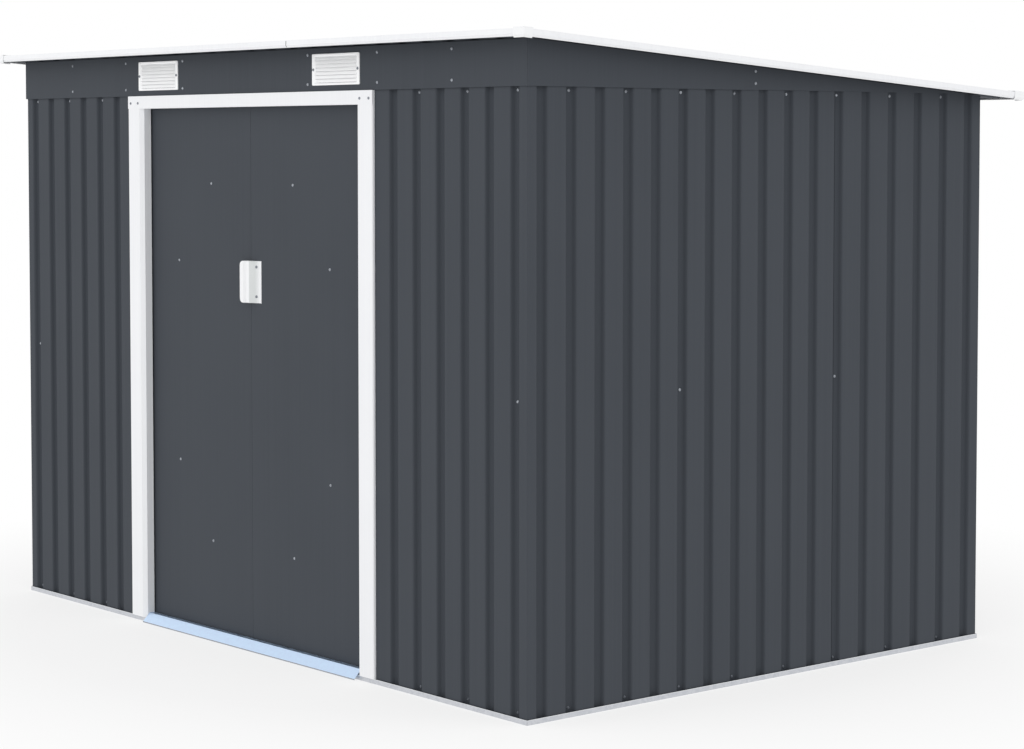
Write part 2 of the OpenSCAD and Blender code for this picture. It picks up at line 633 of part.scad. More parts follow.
// A cap covers the top and the two outer faces of its corner: a long and a short arm of one section, mitred
module cap_arm(length, flange) translate([length / 2, 0, 0]) along_x(length)
    polygon(folded(edge_path(flange, cap_top, cap_bottom), cap_wall));
module cap_block(length, flange) translate([length / 2, 0, 0]) along_x(length)
    polygon(concat(edge_path(flange, cap_top, cap_bottom), [[flange, cap_bottom]]));
module cap_side(length, flange) intersection() {
    cap_arm(length, flange);
    mirror([1, -1, 0]) cap_block(flange, length);
}
module corner_cap(x_arm, y_arm) {
    cap_side(x_arm, y_arm);
    mirror([1, -1, 0]) cap_side(y_arm, x_arm);
}
// The front caps, and the same pair turned round for the back
roof_middle = (roof_front + roof_back) / 2;
module roof_corner_caps() color(white) on_roof() for (turn = [0, 180])
    translate([0, roof_middle, 0]) rotate([0, 0, turn])
    translate([0, roof_front - roof_middle - cap_out, 0]) {
        translate([roof_half + cap_out, 0, 0]) mirror([1, 0, 0]) corner_cap(cap_long, cap_short);
        translate([-roof_half - cap_out, 0, 0]) corner_cap(cap_short, cap_long);
    }

base_rail_front();
base_rail_back();
base_rail_left();
base_rail_right();
front_panel_left();
front_panel_right();
front_corner_panel_left();
front_corner_panel_right();
side_panel_left();
side_panel_right();
rear_corner_panel_left();
rear_corner_panel_right();
back_panel_left();
back_panel_middle();
back_panel_right();
top_rails();
middle_rails();
front_fascia();
fascia_rail();
gable_left();
gable_right();
vent_left();
vent_right();
door_jamb_left();
door_jamb_right();
door_header();
door_sill();
door_track();
left_door_panel();
left_door_stiffeners();
left_door_hangers();
right_door_panel();
right_door_stiffeners();
right_door_hangers();
door_handle();
roof_purlins();
roof_sheet_1();
roof_sheet_2();
roof_sheet_3();
roof_sheet_4();
roof_sheet_5();
roof_trim_front();
roof_trim_back();
roof_trim_left();
roof_trim_right();
roof_corner_caps();
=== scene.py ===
import math

import bmesh
import bpy
from mathutils import Matrix, Vector


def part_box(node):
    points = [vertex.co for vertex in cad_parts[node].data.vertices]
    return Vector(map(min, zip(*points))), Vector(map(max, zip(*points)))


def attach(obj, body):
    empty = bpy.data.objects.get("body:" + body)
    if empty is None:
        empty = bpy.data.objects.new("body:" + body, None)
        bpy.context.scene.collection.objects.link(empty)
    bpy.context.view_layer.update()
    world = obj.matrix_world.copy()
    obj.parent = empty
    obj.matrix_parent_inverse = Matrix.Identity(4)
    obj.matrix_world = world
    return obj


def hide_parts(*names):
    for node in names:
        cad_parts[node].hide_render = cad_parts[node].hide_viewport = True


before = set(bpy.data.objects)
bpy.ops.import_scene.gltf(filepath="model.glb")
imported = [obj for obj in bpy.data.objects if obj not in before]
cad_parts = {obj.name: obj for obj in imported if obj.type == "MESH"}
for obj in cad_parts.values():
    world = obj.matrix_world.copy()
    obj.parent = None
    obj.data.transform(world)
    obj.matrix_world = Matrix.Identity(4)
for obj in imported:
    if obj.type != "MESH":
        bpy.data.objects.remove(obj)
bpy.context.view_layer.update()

# Base rails
# Four channels that the wall sheets stand in, mitred where they meet at the corners of the shed. They are
# roll-formed from hot-dip galvanised strip and left bare.


def linear(hex_colour):
    """An sRGB colour such as "#4b4e55" as linear red, green, blue and alpha."""
    parts = [int(hex_colour[i:i + 2], 16) / 255 for i in (1, 3, 5)]
    return [c / 12.92 if c <= 0.04045 else ((c + 0.055) / 1.055) ** 2.4 for c in parts] + [1]


def add(tree, kind, inputs=None, **settings):
    """Adds a node with its settings, and sets its inputs or links them to other nodes' outputs."""
    made = tree.nodes.new(kind)
    for name, value in settings.items():
        setattr(made, name, value)
    for name, value in (inputs or {}).items():
        if isinstance(value, bpy.types.NodeSocket):
            tree.links.new(value, made.inputs[name])
        else:
            made.inputs[name].default_value = value
    return made


def start_finish(name):
    """A new material, its empty node tree, and the place on the shed in metres for its patterns."""
    made = bpy.data.materials.new(name)
    made.use_nodes = True
    made.node_tree.nodes.clear()
    return made, made.node_tree, add(made.node_tree, "ShaderNodeTexCoord").outputs["Object"]


def per_metre(size_mm):
    """The scale of a pattern whose cells are that size."""
    return 1000 / size_mm


def coat(material, *nodes):
    """Gives CAD nodes a finish."""
    for node in nodes:
        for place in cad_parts[node].material_slots:
            place.material = material


def galvanised_strip(name, dull, bright, edge=None):
    """Hot-dip zinc, dulled by the air: soft silver with a patchwork of zinc crystals, each a little lighter
    or duller than the next, and drag lines from the roll former. An edge is another tone between two
    levels: painted highlight along the top of a rail's lip, or painted shade on a turned-down lip."""
    made, tree, place = start_finish(name)
    crystal_mm = 9
    drag_mm = 2.5
    drag_length_mm = 160
    smooth_crystal = 0.36
    rough_crystal = 0.5
    spangle = add(tree, "ShaderNodeTexVoronoi", {"Vector": place, "Scale": per_metre(crystal_mm)})
    cell = add(tree, "ShaderNodeSeparateColor", {"Color": spangle.outputs["Color"]}).outputs["Red"]
    tone = add(tree, "ShaderNodeMix", {0: cell, 6: linear(dull), 7: linear(bright)}, data_type="RGBA")
    if edge:
        edge_tone, edge_low, edge_high = edge
        level = add(tree, "ShaderNodeSeparateXYZ", {"Vector": place}).outputs["Z"]
        above = add(tree, "ShaderNodeMath", {0: level, 1: edge_low}, operation="GREATER_THAN")
        below = add(tree, "ShaderNodeMath", {0: level, 1: edge_high}, operation="LESS_THAN")
        at_edge = add(tree, "ShaderNodeMath", {0: above.outputs["Value"], 1: below.outputs["Value"]},
                      operation="MULTIPLY")
        tone = add(tree, "ShaderNodeMix", {
            0: at_edge.outputs["Value"], 6: tone.outputs[2], 7: linear(edge_tone)}, data_type="RGBA")
    along = per_metre(drag_length_mm)
    drawn = add(tree, "ShaderNodeMapping", {"Vector": place, "Scale": [along, along, per_metre(drag_mm)]})
    drag = add(tree, "ShaderNodeTexNoise", {"Vector": drawn.outputs["Vector"], "Scale": 1, "Detail": 2})
    dullness = add(tree, "ShaderNodeMapRange", {
        "Value": cell, "To Min": smooth_crystal, "To Max": rough_crystal})
    relief = add(tree, "ShaderNodeBump", {
        "Height": drag.outputs["Fac"], "Strength": 0.12, "Distance": 0.0004})
    shader = add(tree, "ShaderNodeBsdfPrincipled", {
        "Base Color": tone.outputs[2], "Metallic": 1, "Roughness": dullness.outputs["Result"],
        "Normal": relief.outputs["Normal"]})
    add(tree, "ShaderNodeOutputMaterial", {"Surface": shader.outputs["BSDF"]})
    return made


# the lighter band along the top of the rails' lip is painted highlight on the edge
rail_lip_top = 0.0141
lip_highlight_band = 0.0018
hot_dip_zinc = galvanised_strip("hot_dip_zinc", "#bcbfc5", "#c8cacf",
                                ("#d6d8db", rail_lip_top - lip_highlight_band, rail_lip_top))
coat(hot_dip_zinc, "base_rail_front", "base_rail_back", "base_rail_left", "base_rail_right")

# Wall sheets
# Ribbed sheets of thin coil-coated steel: flat pans with upright grooves between them, lapped groove in
# groove, and folded round the four corners. The coat goes on before the sheet is rolled to shape.
side_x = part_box("front_corner_panel_right")[1].x
front_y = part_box("front_corner_panel_right")[0].y
back_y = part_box("back_panel_middle")[1].y
walls_half_y = (back_y - front_y) / 2
walls_middle_y = (back_y + front_y) / 2
groove_depth = 0.012


def coil_coat(name, colour, shade, rough_low, rough_high, specular, groove_shade=None):
    """Baked polyester on steel sheet: an even satin colour that drifts a little over a sheet, with a fine
    orange peel, faint upright lines left by the forming rolls, and the slight waviness of thin sheet. The
    groove colour is painted shade, drawn deeper down in the grooves of the walls where shade falls."""
    made, tree, place = start_finish(name)
    drift_mm = 420
    line_mm = 7
    line_length_mm = 1500
    peel_mm = 4  # orange peel is nearer 1 mm, and is drawn coarser to show
    wave_mm = 300
    unshaded_depth = 0.15 * groove_depth
    full_shade_depth = 0.6 * groove_depth
    drift = add(tree, "ShaderNodeTexNoise", {"Vector": place, "Scale": per_metre(drift_mm), "Detail": 3})
    across = per_metre(line_mm)
    rolled = add(tree, "ShaderNodeMapping", {
        "Vector": place, "Scale": [across, across, per_metre(line_length_mm)]})
    lines = add(tree, "ShaderNodeTexNoise", {"Vector": rolled.outputs["Vector"], "Scale": 1, "Detail": 2})
    peel = add(tree, "ShaderNodeTexNoise", {"Vector": place, "Scale": per_metre(peel_mm), "Detail": 1})
    wave = add(tree, "ShaderNodeTexNoise", {"Vector": place, "Scale": per_metre(wave_mm), "Detail": 0})
    uneven = add(tree, "ShaderNodeMath", {0: drift.outputs["Fac"], 1: lines.outputs["Fac"]},
                 operation="MULTIPLY")
    spread = add(tree, "ShaderNodeMapRange", {
        "Value": uneven.outputs["Value"], "From Min": 0.1, "From Max": 0.45})
    tone = add(tree, "ShaderNodeMix", {0: spread.outputs["Result"], 6: linear(colour), 7: linear(shade)},
               data_type="RGBA")
    # painted shade: the coat darkens with depth in a groove, measured in from the outside of the walls
    if groove_shade:
        centred = add(tree, "ShaderNodeVectorMath", {0: place, 1: [0, walls_middle_y, 0]},
                      operation="SUBTRACT")
        reach = add(tree, "ShaderNodeVectorMath", {0: centred.outputs["Vector"]}, operation="ABSOLUTE")
        inward = add(tree, "ShaderNodeVectorMath", {
            0: [side_x, walls_half_y, 0], 1: reach.outputs["Vector"]}, operation="SUBTRACT")
        behind = add(tree, "ShaderNodeSeparateXYZ", {"Vector": inward.outputs["Vector"]})
        depth = add(tree, "ShaderNodeMath", {0: behind.outputs["X"], 1: behind.outputs["Y"]},
                    operation="MINIMUM")
        sunk = add(tree, "ShaderNodeMapRange", {
            "Value": depth.outputs["Value"], "From Min": unshaded_depth, "From Max": full_shade_depth})
        tone = add(tree, "ShaderNodeMix", {
            0: sunk.outputs["Result"], 6: tone.outputs[2], 7: linear(groove_shade)}, data_type="RGBA")
    sheen = add(tree, "ShaderNodeMapRange", {
        "Value": peel.outputs["Fac"], "To Min": rough_low, "To Max": rough_high})
    waviness = add(tree, "ShaderNodeBump", {
        "Height": wave.outputs["Fac"], "Strength": 0.3, "Distance": 0.002})
    relief = add(tree, "ShaderNodeBump", {
        "Height": peel.outputs["Fac"], "Strength": 0.1, "Distance": 0.0003,
        "Normal": waviness.outputs["Normal"]})
    shader = add(tree, "ShaderNodeBsdfPrincipled", {
        "Base Color": tone.outputs[2], "Roughness": sheen.outputs["Result"], "Specular IOR Level": specular,
        "Normal": relief.outputs["Normal"]})
    add(tree, "ShaderNodeOutputMaterial", {"Surface": shader.outputs["BSDF"]})
    return made


# the walls' groove colour is painted shade
groove_shaded_anthracite_coat = coil_coat("groove_shaded_anthracite_coat", "#464a50", "#43474d", 0.55, 0.65, 0.08,
                                  "#40444a")
coat(groove_shaded_anthracite_coat, "front_panel_left", "front_panel_right",
     "front_corner_panel_left", "front_corner_panel_right", "side_panel_left", "side_panel_right",
     "rear_corner_panel_left", "rear_corner_panel_right",
     "back_panel_left", "back_panel_middle", "back_panel_right")

# Inside rails
# Angle rails behind the top edge and the middle of the walls, a rail behind the fascia, and the track that
# the doors hang from. All are galvanised strip, screwed through the sheets.
coat(hot_dip_zinc, "top_rails", "middle_rails", "fascia_rail", "door_track")

# Fascia and gables
# A flat plate over the front wall and a tapering plate over each side wall close the space up to the roof.
# They are cut from the same coated sheet as the walls; each gable is two lengths, lapped.
anthracite_coat = coil_coat("anthracite_coat", "#464a50", "#43474d", 0.55, 0.65, 0.08)
coat(anthracite_coat, "front_fascia", "gable_left", "gable_right")

# Door frame
# Two folded jambs and a header round the doorway, in white coil-coated steel. They are screwed to the front
# sheets.
white_coat = coil_coat("white_coat", "#eeeff1", "#e9eaed", 0.3, 0.4, 0.5)
coat(white_coat, "door_jamb_left", "door_jamb_right", "door_header")

# Vents
# Two louvred grilles, each with its rim and seven slats moulded in one piece of white polypropylene. A
# frame behind the rim goes through the fascia, and a screw at either end holds it.


def moulded_plastic(name, colour, shade, rough_low, rough_high, rim=None):
    """Injection-moulded plastic: an even colour right through, with the fine grain of the mould on its
    skin. A rim is a colour that the skin fades to between two places from left to right, so that painted
    shade on the skin lifts towards the rim."""
    made, tree, place = start_finish(name)
    flow_mm = 60
    grain_mm = 1.6  # mould grain is nearer 0.3 mm, and is drawn coarser to show
    flow = add(tree, "ShaderNodeTexNoise", {"Vector": place, "Scale": per_metre(flow_mm), "Detail": 2})
    grain = add(tree, "ShaderNodeTexNoise", {"Vector": place, "Scale": per_metre(grain_mm), "Detail": 1})
    tone = add(tree, "ShaderNodeMix", {0: flow.outputs["Fac"], 6: linear(colour), 7: linear(shade)},
               data_type="RGBA")
    if rim:
        unshaded_colour, fade_start, fade_end = rim
        across = add(tree, "ShaderNodeSeparateXYZ", {"Vector": place}).outputs["X"]
        out_of_shade = add(tree, "ShaderNodeMapRange", {
            "Value": across, "From Min": fade_start, "From Max": fade_end})
        tone = add(tree, "ShaderNodeMix", {
            0: out_of_shade.outputs["Result"], 6: tone.outputs[2], 7: linear(unshaded_colour)}, data_type="RGBA")
    sheen = add(tree, "ShaderNodeMapRange", {
        "Value": grain.outputs["Fac"], "To Min": rough_low, "To Max": rough_high})
    relief = add(tree, "ShaderNodeBump", {
        "Height": grain.outputs["Fac"], "Strength": 0.1, "Distance": 0.0002})
    shader = add(tree, "ShaderNodeBsdfPrincipled", {
        "Base Color": tone.outputs[2], "Roughness": sheen.outputs["Result"],
        "Normal": relief.outputs["Normal"]})
    add(tree, "ShaderNodeOutputMaterial", {"Surface": shader.outputs["BSDF"]})
    return made


white_polypropylene = moulded_plastic("white_polypropylene", "#fcfcfd", "#f7f8f9", 0.34, 0.46)
vent_rim = (0.0125, 0.0045)
vent_window = (0.0166, 0.0076)
vent_frame = (0.0152, 0.0062)
vent_proud = 0.003
vent_corner_r = 0.0035
rim_bevel = 0.0008
corner_points = 5
slat_count = 7
slat_ends = 0.0006
# a slat across its length: distance behind the fascia and height, from its lip up the face to its hidden
# back edge
slat_section = [(-0.0028, 0.0010), (-0.0016, 0.0070), (0.0022, 0.0118), (0.0036, 0.0110), (0.0002, 0.0060),
                (-0.0012, 0.0003)]


def rounded_loop(mesh, low, high, inset, y):
    """A loop of vertices round an upright rectangle, moved in by that inset and with rounded corners."""
    x0, z0, x1, z1 = low.x + inset[0], low.z + inset[1], high.x - inset[0], high.z - inset[1]
    r = max(vent_corner_r - inset[1], rim_bevel)
    centres = ((x1 - r, z1 - r), (x0 + r, z1 - r), (x0 + r, z0 + r), (x1 - r, z0 + r))
    loop = []
    for corner, (x, z) in enumerate(centres):
        for k in range(corner_points):
            a = math.radians(90 * (corner + k / (corner_points - 1)))
            loop.append(mesh.verts.new((x + r * math.cos(a), y, z + r * math.sin(a))))
    return loop


def join_loops(mesh, loops):
    """Faces between each loop of vertices and the next."""
    for first, second in zip(loops, loops[1:]):
        for i in range(len(first)):
            j = (i + 1) % len(first)
            mesh.faces.new((first[i], first[j], second[j], second[i]))


def make_piece(name, mesh, body, slot, *finishes):
    """Turns a drawn mesh into a piece with its finishes, smooth but for its edges, that rides on a body."""
    sharp_angle = 28
    bmesh.ops.recalc_face_normals(mesh, faces=mesh.faces)
    for face in mesh.faces:
        face.smooth = True
    made = bpy.data.meshes.new(name)
    mesh.to_mesh(made)
    mesh.free()
    made.set_sharp_from_angle(angle=math.radians(sharp_angle))
    for finish in finishes:
        made.materials.append(finish)
    piece = bpy.data.objects.new(name, made)
    bpy.context.collection.objects.link(piece)
    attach(piece, body)
    return piece


for node in ("vent_left", "vent_right"):
    low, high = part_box(node)
    fascia_y = low.y + vent_proud
    mesh = bmesh.new()
    loops = [rounded_loop(mesh, low, high, inset, y) for inset, y in (
        ((0, 0), fascia_y), ((0, 0), low.y + rim_bevel), ((rim_bevel, rim_bevel), low.y), (vent_rim, low.y),
        (vent_window, fascia_y), (vent_window, high.y), (vent_frame, high.y), (vent_frame, fascia_y))]
    join_loops(mesh, loops + loops[:1])
    slat_pitch = (high.z - low.z - 2 * vent_window[1]) / slat_count
    slat_x = (low.x + vent_window[0] - slat_ends, high.x - vent_window[0] + slat_ends)
    slat_top = high.z - vent_frame[1]
    for k in range(slat_count):
        foot = low.z + vent_window[1] + k * slat_pitch
        ends = [[mesh.verts.new((x, fascia_y + y, min(foot + z, slat_top))) for y, z in slat_section]
                for x in slat_x]
        join_loops(mesh, ends)
        for end in ends:
            mesh.faces.new(end)
    vent = make_piece("louvred_" + node, mesh, "shed", "white_plastic", white_polypropylene)
    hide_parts(node)

# Roof
# Two folded beams carry five ribbed roof sheets of the same coated steel as the walls, lapped rib over rib.
# White folded trim covers the four edges, and moulded caps cover the corners.
coat(hot_dip_zinc, "roof_purlins")
coat(anthracite_coat, "roof_sheet_1", "roof_sheet_2", "roof_sheet_3", "roof_sheet_4", "roof_sheet_5")
coat(white_coat, "roof_trim_front", "roof_trim_back", "roof_trim_left", "roof_trim_right")
white_abs = moulded_plastic("white_abs", "#f1f2f3", "#ecedef", 0.32, 0.42)
coat(white_abs, "roof_corner_caps")

# Trim joint
# A thin grey bead down the joint between the two lengths of the front trim, standing in as painted shade
# for the dark line of shade at the joint. It is run down the face of the trim and follows its shape.
# the bead's grey is painted shade
joint_shade_grey = moulded_plastic("joint_shade_grey", "#5b5d61", "#636569", 0.5, 0.6)
trim_low, trim_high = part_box("roof_trim_front")
joint_x = 0.32
bead_half = 0.0014
bead_proud = 0.0007
bead_end = 0.0016
bead_sides = 6
bead_levels = 10
far = 3  # well outside the shed
to_back = (0, 1, 0)


def meet(start, way):
    """The place where a line from that start first meets the shed, and the way that its face looks."""
    bpy.context.view_layer.update()
    ready = bpy.context.evaluated_depsgraph_get()
    met, place, out, *_ = bpy.context.scene.ray_cast(ready, Vector(start), Vector(way))
    if not met:
        raise ValueError(f"no part of the shed on the line from {start}")
    return place, out


mesh = bmesh.new()
loops = []
for n in range(bead_levels + 1):
    z = trim_low.z + bead_end + (trim_high.z - trim_low.z - 2 * bead_end) * n / bead_levels
    face_y = meet((joint_x - bead_half, -far, z), to_back)[0].y
    loops.append([mesh.verts.new((joint_x - bead_half * math.cos(a), face_y - bead_proud * math.sin(a), z))
                  for a in (math.pi * k / bead_sides for k in range(bead_sides + 1))])
join_loops(mesh, loops)
mesh.faces.new(loops[0])
mesh.faces.new(loops[-1])
make_piece("trim_joint_bead", mesh, "shed", "black_plastic", joint_shade_grey)

# Doors
# Two flat leaves of coated sheet with folded edges, stiffened by upright hat sections on their backs. Nylon
# hangers on the top edge run in the track.
black_nylon = moulded_plastic("black_nylon", "#1d1d1f", "#232325", 0.4, 0.55)
coat(anthracite_coat, "left_door_panel", "right_door_panel")
coat(hot_dip_zinc, "left_door_stiffeners", "right_door_stiffeners")
coat(black_nylon, "left_door_hangers", "right_door_hangers")

# Closing hem
# The right leaf's sheet is folded out to a narrow flat hem that covers the seam when the doors are shut. It
# has the coat of the leaf and ends just short of the left leaf.
leaf_low, leaf_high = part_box("right_door_panel")
hem_gap = 0.0004
hem_reach = leaf_low.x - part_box("left_door_panel")[1].x - hem_gap
hem_depth = 0.004
hem_bend = 0.0007
bend_steps = 4
quarter = [math.radians(90 * k / bend_steps) for k in range(bend_steps + 1)]
nose_x = leaf_low.x - hem_reach + hem_bend
front_bend = [(nose_x - hem_bend * math.sin(a), leaf_low.y + hem_bend - hem_bend * math.cos(a))
              for a in quarter]
back_bend = [(nose_x - hem_bend * math.cos(a), leaf_low.y + hem_depth - hem_bend + hem_bend * math.sin(a))
             for a in quarter]
hem_outline = [(leaf_low.x, leaf_low.y)] + front_bend + back_bend + [(leaf_low.x, leaf_low.y + hem_depth)]
mesh = bmesh.new()
hem_ends = [[mesh.verts.new((x, y, z)) for x, y in hem_outline] for z in (leaf_low.z, leaf_high.z)]
join_loops(mesh, hem_ends)
for end in hem_ends:
    mesh.faces.new(end)
make_piece("closing_hem", mesh, "right_door", "grey_paint", anthracite_coat)

# Door handle
# A pull moulded in white ABS, screwed to the right leaf: a dished plate and a stepped grip that reaches
# over the seam, with room for fingers behind it. The dish is grained and drawn grey as painted shade from
# the grip, lifting to a light rim.
handle_low, handle_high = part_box("door_handle")
grip_face = 0.022
grip_back = 0.0185
grip_root = 0.0225
step_face = 0.016
plate_edge = handle_high.x - handle_low.x
door_edge = leaf_low.x - handle_low.x
stand_off = 0.005
slope_start = 0.0425
slope_end = 0.064
slope_angle = 26
rim_angle = -10
rim_round = 0.001
rim_drop = 0.0008
shade_fade_inset = 0.003
dish_steps = 10
corner_r = 0.018
corner_count = 8
end_bevel = 0.0016
weld = 0.00002
# places across the handle from its left edge, and how far each stands proud of the door: first the grip,
# then the plate, which falls away to the right and curls up again to its rim
front_skin = [(0, 0.019), (0.0008, 0.0214), (0.0025, grip_face), (0.0202, grip_face), (0.021, 0.0215),
              (0.0262, 0.0165), (0.027, step_face), (slope_start, step_face)]
dish_x = slope_end
dish_proud = step_face - (slope_end - slope_start) * math.tan(math.radians(slope_angle))
dish_step = (plate_edge - rim_round - slope_end) / dish_steps
for k in range(dish_steps + 1):
    front_skin.append((dish_x, dish_proud))
    fall = slope_angle + (rim_angle - slope_angle) * k / dish_steps
    dish_x += dish_step
    dish_proud -= dish_step * math.tan(math.radians(fall))
front_skin.append((plate_edge, front_skin[-1][1] - rim_drop))
back_skin = [(plate_edge, 0), (door_edge, 0), (door_edge, stand_off), (grip_root, stand_off),
             (grip_root, 0.0135), (0.0195, grip_back), (0, grip_back)]
# distances from either end, with the rounding of the left corners and the bevel of the ends there
corner_steps = [math.radians(90 * k / corner_count) for k in range(corner_count + 1)]
from_end = sorted([corner_r * (1 - math.cos(a)) for a in corner_steps] + [end_bevel])
levels = [(handle_low.z + d, d) for d in from_end] + [(handle_high.z - d, d) for d in reversed(from_end)]
mesh = bmesh.new()
rings = []
for level, d in levels:
    left = corner_r - math.sqrt(corner_r ** 2 - (corner_r - d) ** 2)
    drop = max(0, end_bevel - d)
    rings.append([mesh.verts.new((handle_low.x + max(x, left), handle_high.y - max(proud - drop, 0), level))
                  for x, proud in front_skin + back_skin])
mesh.faces.new(rings[0])
mesh.faces.new(rings[-1])
join_loops(mesh, rings)
bmesh.ops.remove_doubles(mesh, verts=mesh.verts, dist=weld)
for face in mesh.faces:
    on_plate = face.calc_center_median().x > handle_low.x + slope_start and len(face.verts) == 4
    face.material_index = 1 if on_plate else 0
# the dish's grey is painted shade, fading out towards the rim
shaded_dish_abs = moulded_plastic("shaded_dish_abs", "#d4d7d7", "#d0d3d3", 0.45, 0.55,
                              ("#eff0f2", handle_low.x + slope_end - shade_fade_inset, handle_high.x - shade_fade_inset))
pull_handle = make_piece("pull_handle", mesh, "right_door", "white_plastic", white_abs, shaded_dish_abs)
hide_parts("door_handle")

# Door sill
# A low ramp over the base rail at the doorway, folded from galvanised strip with a bluish passivated
# finish. Its front edge is turned down to a lip, drawn grey as painted shade.
sill_lip_top = 0.0034
# the lip's grey is painted shade
passivated_zinc = galvanised_strip("passivated_zinc", "#c0d2ea", "#c6daef", ("#9a9ea6", 0, sill_lip_top))
coat(passivated_zinc, "door_sill")

# Screws
# Zinc-plated pan-head screws, each over a washer, driven through the sheets into the rails. Their heads
# carry a cross recess.
screw_head_r = 0.0034
screw_head_h = 0.0022
screw_side_share = 0.35
screw_dome = (0, 30, 50, 66, 78)
screw_washer_r = 0.0042
screw_washer_h = 0.0006
washer_rim_share = 0.7
washer_face_share = 0.94
screw_sides = 24
recess_depth = 0.0012
recess_half = 0.0006
recess_reach = 0.0022
recess_share = 0.9


def screw_rings():
    """Radius and height of each ring of vertices on a screw and its washer, from the rim inwards."""
    dome_share = 1 - screw_side_share
    dome = [(screw_head_r * math.cos(a),
             screw_washer_h + screw_head_h * (screw_side_share + dome_share * math.sin(a)))
            for a in map(math.radians, screw_dome)]
    return [(screw_washer_r, 0), (screw_washer_r, screw_washer_h * washer_rim_share),
            (screw_washer_r * washer_face_share, screw_washer_h), (screw_head_r, screw_washer_h)] + dome


def drive_screw(mesh, place, out, turn):
    """Adds a screw to a mesh, its washer on that place and its head facing out."""
    upright = out.to_track_quat("Z", "Y").to_matrix().to_4x4()
    stand = Matrix.Translation(place) @ upright @ Matrix.Rotation(turn, 4, "Z")
    rings = []
    for radius, height in screw_rings():
        on_top = height > screw_head_h * recess_share and radius < recess_reach
        ring = []
        for i in range(screw_sides):
            a = 2 * math.pi * i / screw_sides
            x, y = radius * math.cos(a), radius * math.sin(a)
            sunk = recess_depth if on_top and min(abs(x), abs(y)) < recess_half else 0
            ring.append(mesh.verts.new(stand @ Vector((x, y, height - sunk))))
        rings.append(ring)
    join_loops(mesh, rings)
    mesh.faces.new(rings[0])
    top = mesh.verts.new(stand @ Vector((0, 0, screw_washer_h + screw_head_h - recess_depth)))
    for i in range(screw_sides):
        mesh.faces.new((rings[-1][i], rings[-1][(i + 1) % screw_sides], top))


def set_screws(name, body, finish, way, starts):
    """One piece of many screws: each sits where a line from its start, going that way, meets the shed."""
    mesh = bmesh.new()
    turn = math.radians(137.5)
    for count, start in enumerate(starts):
        place, out = meet(start, way)
        drive_screw(mesh, place, out, turn * count)
    make_piece(name, mesh, body, "galvanised", finish)


# bright plating on the dark sheets, duller on white, and darker along the foot of the walls as painted
# shade
bright_zinc = galvanised_strip("bright_zinc", "#a3a7ae", "#bbbfc5")
dull_zinc = galvanised_strip("dull_zinc", "#8d9198", "#a1a5ac")
foot_shade_zinc = galvanised_strip("foot_shade_zinc", "#6b6f76", "#7d8188")

# the grooves of the walls, which the screws sit in, and the heights of the rows
to_front = (0, -1, 0)
down = (0, 0, -1)
sides = (-1, 1)
groove_count = 25
groove_pitch = 2 * side_x / groove_count
front_grooves = [s * (side_x - (k + 0.5) * groove_pitch) for s in sides for k in (0, 2, 4)]
back_grooves = [(n - (groove_count - 1) / 2) * groove_pitch for n in range(groove_count)]
side_front_count = 6
side_front_pitch = 0.103
side_middle_count = 6
side_middle_pitch = 0.105
side_rear_count = 5
front_lap_y = front_y + (side_front_count - 0.5) * side_front_pitch
rear_lap_y = front_lap_y + side_middle_count * side_middle_pitch
rear_corner_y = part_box("rear_corner_panel_right")[1].y
side_rear_pitch = (rear_corner_y - rear_lap_y) / (side_rear_count + 0.5)
side_grooves = ([front_y + (n + 0.5) * side_front_pitch for n in range(side_front_count)]
                + [front_lap_y + (n + 1) * side_middle_pitch for n in range(side_middle_count)]
                + [rear_lap_y + (n + 1) * side_rear_pitch for n in range(side_rear_count)])
side_lap_grooves = (side_grooves[5], side_grooves[11])
foot_z = 0.0232
middle_z = 0.857
head_z = 1.682
back_head_z = 1.67

set_screws("front_foot_screws", "shed", foot_shade_zinc, to_back, [(x, -far, foot_z) for x in front_grooves])
set_screws("front_wall_screws", "shed", bright_zinc, to_back,
           [(x, -far, head_z) for x in front_grooves]
           + [(s * (side_x - groove_pitch / 2), -far, middle_z) for s in sides])
for side, wall in zip(sides, ("left", "right")):
    set_screws(wall + "_foot_screws", "shed", foot_shade_zinc, (-side, 0, 0),
               [(side * far, y, foot_z) for y in side_grooves[1::2]])
    set_screws(wall + "_wall_screws", "shed", bright_zinc, (-side, 0, 0),
               [(side * far, y, head_z) for y in side_grooves[1::2]]
               + [(side * far, y, middle_z) for y in side_lap_grooves])
set_screws("back_foot_screws", "shed", foot_shade_zinc, to_front, [(x, far, foot_z) for x in back_grooves[::2]])
set_screws("back_wall_screws", "shed", bright_zinc, to_front,
           [(x, far, back_head_z) for x in back_grooves[::2]]
           + [(x, far, middle_z) for x in back_grooves[::4]])

# the fascia in two rows, and the lap of each gable
fascia_pitch = 0.336
fascia_rows = (1.7125, 1.7975)
gable_lap_y = front_y + 0.845
gable_rows = (1.711, 1.745)
set_screws("fascia_screws", "shed", bright_zinc, to_back,
           [(n * fascia_pitch, -far, z) for n in (-3, -2, -1, 1, 2, 3) for z in fascia_rows])
for side, wall in zip(sides, ("left", "right")):
    set_screws(wall + "_gable_screws", "shed", bright_zinc, (-side, 0, 0),
               [(side * far, gable_lap_y, z) for z in gable_rows])

# both ends of each vent, and the tops of the jambs
vent_middle = (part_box("vent_right")[0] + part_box("vent_right")[1]) / 2
vent_screw_out = 0.108
jamb_top_z = 1.669
jamb_screw_x = (0.594, 0.637)
set_screws("vent_screws", "shed", dull_zinc, to_back,
           [(s * vent_middle.x + e * vent_screw_out, -far, vent_middle.z) for s in sides for e in sides])
set_screws("door_frame_screws", "shed", dull_zinc, to_back,
           [(s * x, -far, jamb_top_z) for s in sides for x in jamb_screw_x])

